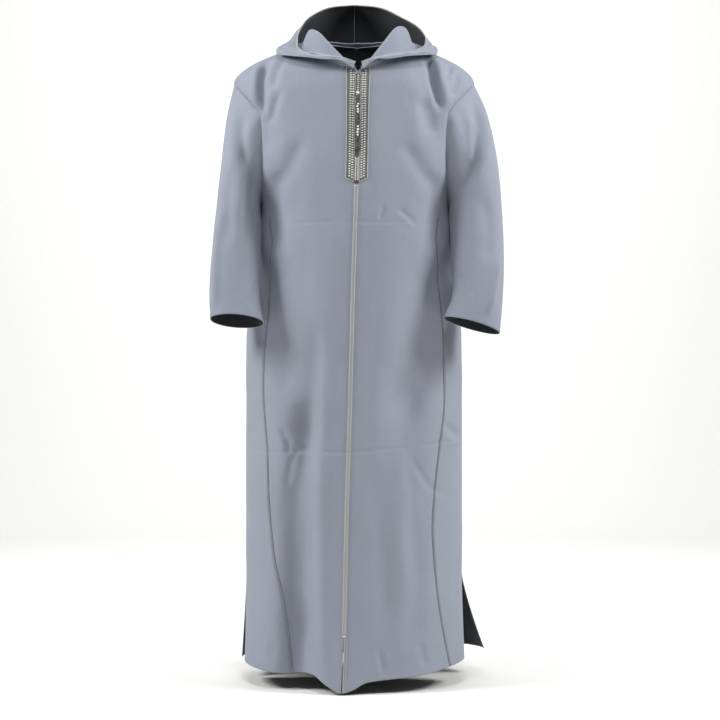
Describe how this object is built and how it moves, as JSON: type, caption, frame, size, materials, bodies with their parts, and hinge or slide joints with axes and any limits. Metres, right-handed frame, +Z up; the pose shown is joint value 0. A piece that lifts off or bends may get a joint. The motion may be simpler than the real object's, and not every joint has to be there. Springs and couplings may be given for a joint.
{
  "type": "hooded djellaba robe, held in its worn form with no wearer",
  "caption": "Grey-blue ankle-length hooded djellaba with a zipped, embroidered placket and braided seams.",
  "frame": {"origin": "middle of the wearer's shoulders, where the garment is held up", "axes": "+Z up; the garment faces -Y and the wearer's left is +X"},
  "size_m": [0.6765, 0.4252, 1.6008],
  "materials": {
    "cloth": "matt woven cloth",
    "braid": "woven silky braid",
    "placket": "ribbed band with stitched rows",
    "zip_tape": "woven tape",
    "zip_metal": "plated",
    "beads": "polished beads on a backing"
  },
  "bodies": {
    "robe": {"back": "cloth", "front_right": "cloth", "front_left": "cloth", "gore_right": "cloth", "gore_left": "cloth", "sleeve_right": "cloth", "sleeve_left": "cloth", "hood_right": "cloth", "hood_left": "cloth", "placket_right": "placket", "placket_left": "placket", "zip_tape_right": "zip_tape", "zip_tape_left": "zip_tape", "zip_slider": "zip_metal", "centre_braid": "braid", "slit_braid": "braid", "slit_tack": "braid", "gore_braid_right": "braid", "gore_braid_left": "braid", "pocket_braid_right_front": "braid", "pocket_braid_right_back": "braid", "pocket_braid_left_front": "braid", "pocket_braid_left_back": "braid"},
    "zip_pull": {"zip_pull": "beads"}
  },
  "joints": [
    {"name": "pull_swing", "type": "hinge", "parent": "robe", "child": "zip_pull", "pos_m": [0.009, -0.14059, -0.07857], "axis": [1, 0, 0], "range_deg": [-150, 0]}
  ]
}
